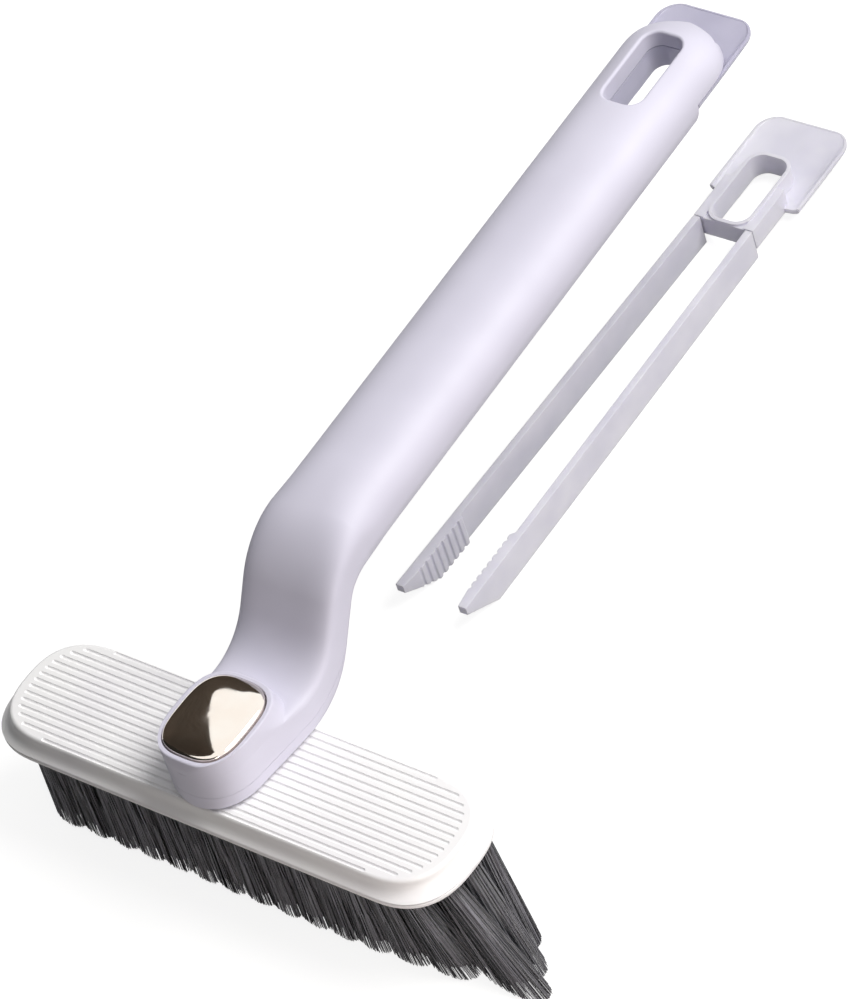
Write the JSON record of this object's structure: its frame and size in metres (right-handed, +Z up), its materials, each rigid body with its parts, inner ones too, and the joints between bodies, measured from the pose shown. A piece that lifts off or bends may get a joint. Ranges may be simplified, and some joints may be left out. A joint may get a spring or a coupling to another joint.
{
  "type": "cleaning brush",
  "caption": "Hand cleaning brush: long turning head with dark bristles, cranked hollow handle with a hang hole and a mirror pivot cap, pull-out clip with toothed jaws, spare clip.",
  "frame": {"origin": "on the surface that the bristle tips stand on, under the middle of the whole bounding box", "axes": "+Z up; +Y from the head towards the handle's tail; +X along the head towards the flared end of the bristles"},
  "size_m": [0.1696, 0.2984, 0.0915],
  "materials": {
    "white_plastic": "satin gloss",
    "dark_bristle": "matte",
    "bronze_mirror": "polished, bronze tint",
    "zinc_steel": "zinc plated",
    "grey_plastic": "matte",
    "violet_plastic": "satin gloss"
  },
  "bodies": {
    "handle": {"handle_upper_shell": "white_plastic", "handle_lower_shell": "white_plastic", "pivot_cap": "bronze_mirror", "shell_screw_left": "zinc_steel", "shell_screw_right": "zinc_steel", "pivot_spring": "zinc_steel"},
    "head": {"head_top_plate": "white_plastic", "bristle_block": "white_plastic", "front_bristle_row": "dark_bristle", "mid_front_bristle_row": "dark_bristle", "mid_back_bristle_row": "dark_bristle", "back_bristle_row": "dark_bristle", "pivot_post": "grey_plastic", "pivot_washer": "zinc_steel", "pivot_screw": "zinc_steel"},
    "clip": {"clip_cap": "violet_plastic"},
    "clip_left_arm": {"clip_left_arm": "violet_plastic"},
    "clip_right_arm": {"clip_right_arm": "violet_plastic"},
    "spare_clip": {"spare_clip_cap": "violet_plastic"},
    "spare_clip_left_arm": {"spare_clip_left_arm": "violet_plastic"},
    "spare_clip_right_arm": {"spare_clip_right_arm": "violet_plastic"}
  },
  "joints": [
    {"name": "head_turn", "type": "hinge", "parent": "handle", "child": "head", "pos_m": [-0.0109, -0.12988, 0.038], "axis": [0, 0, 1], "range_deg": [-90, 75]},
    {"name": "clip_slide", "type": "slide", "parent": "handle", "child": "clip", "axis": [0, 0.9982, 0.0593], "range_m": [0, 0.2]},
    {"name": "clip_squeeze", "type": "hinge", "parent": "clip", "child": "clip_left_arm", "pos_m": [-0.0196, 0.06735, 0.07994], "axis": [0, -0.0593, 0.9982], "range_deg": [0, 2.2], "stiffness_Nm_per_rad": 0.2},
    {"name": "clip_squeeze_right", "type": "hinge", "parent": "clip", "child": "clip_right_arm", "pos_m": [-0.0022, 0.06735, 0.07994], "axis": [0, -0.0593, 0.9982], "range_deg": [-2.2, 0], "stiffness_Nm_per_rad": 0.2},
    {"name": "spare_clip_shift", "type": "slide", "parent": "handle", "child": "spare_clip", "axis": [0, 1, 0], "range_m": [0, 0.05]},
    {"name": "spare_clip_squeeze", "type": "hinge", "parent": "spare_clip", "child": "spare_clip_left_arm", "pos_m": [-0.02675, 0.10248, 0.0061], "axis": [0, 0, 1], "range_deg": [0, 3], "stiffness_Nm_per_rad": 0.2},
    {"name": "spare_clip_squeeze_right", "type": "hinge", "parent": "spare_clip", "child": "spare_clip_right_arm", "pos_m": [-0.00936, 0.10273, 0.0061], "axis": [0, 0, 1], "range_deg": [-3, 0], "stiffness_Nm_per_rad": 0.2}
  ],
  "couplings": [
    {"joint": "clip_squeeze_right", "follows": "clip_squeeze", "ratio": -1},
    {"joint": "spare_clip_squeeze_right", "follows": "spare_clip_squeeze", "ratio": -1}
  ]
}
